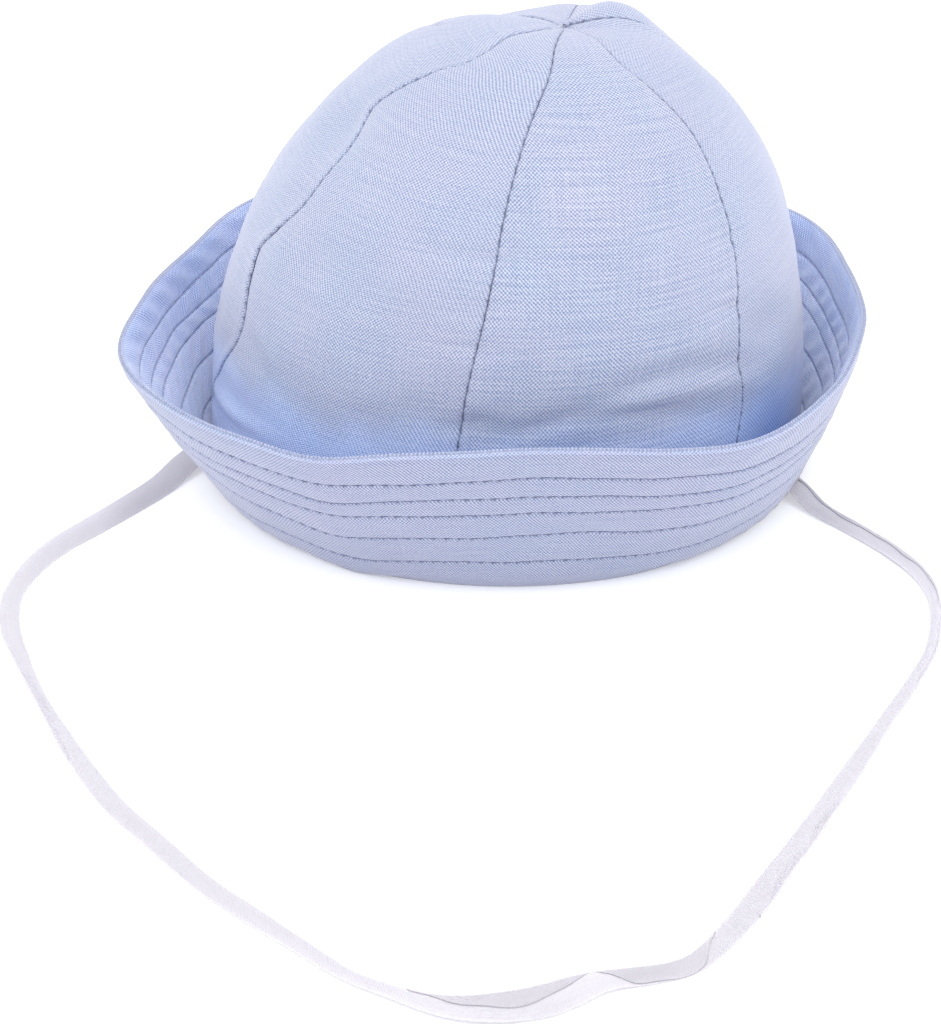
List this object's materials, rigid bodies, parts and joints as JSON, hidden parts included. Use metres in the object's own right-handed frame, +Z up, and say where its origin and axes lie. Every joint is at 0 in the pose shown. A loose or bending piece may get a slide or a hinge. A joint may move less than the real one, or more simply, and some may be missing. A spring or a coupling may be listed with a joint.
{
  "type": "sailor cap",
  "caption": "Child's soft sun cap with a domed crown of curved panels, a quilted brim folded up all round and a white cotton chin tape looped from side to side",
  "frame": {"origin": "under the middle of the cap's outline, on the surface that the brim's fold stands on; the chin tape isn't counted", "axes": "+Z up through the crown, -Y to the front where the chin tape lies, +X to the right as seen in the picture"},
  "size_m": [0.2262, 0.3326, 0.1196],
  "materials": {
    "chambray": "pale blue cotton chambray, fine oxford weave, matt",
    "tape": "white cotton tape folded in two, matt"
  },
  "bodies": {
    "root": {"crown_panel_front_left": "chambray", "crown_panel_front_right": "chambray", "crown_panel_right": "chambray", "crown_panel_back_right": "chambray", "crown_panel_back_left": "chambray", "crown_panel_left": "chambray", "brim": "chambray", "chin_tape": "tape"}
  },
  "joints": []
}
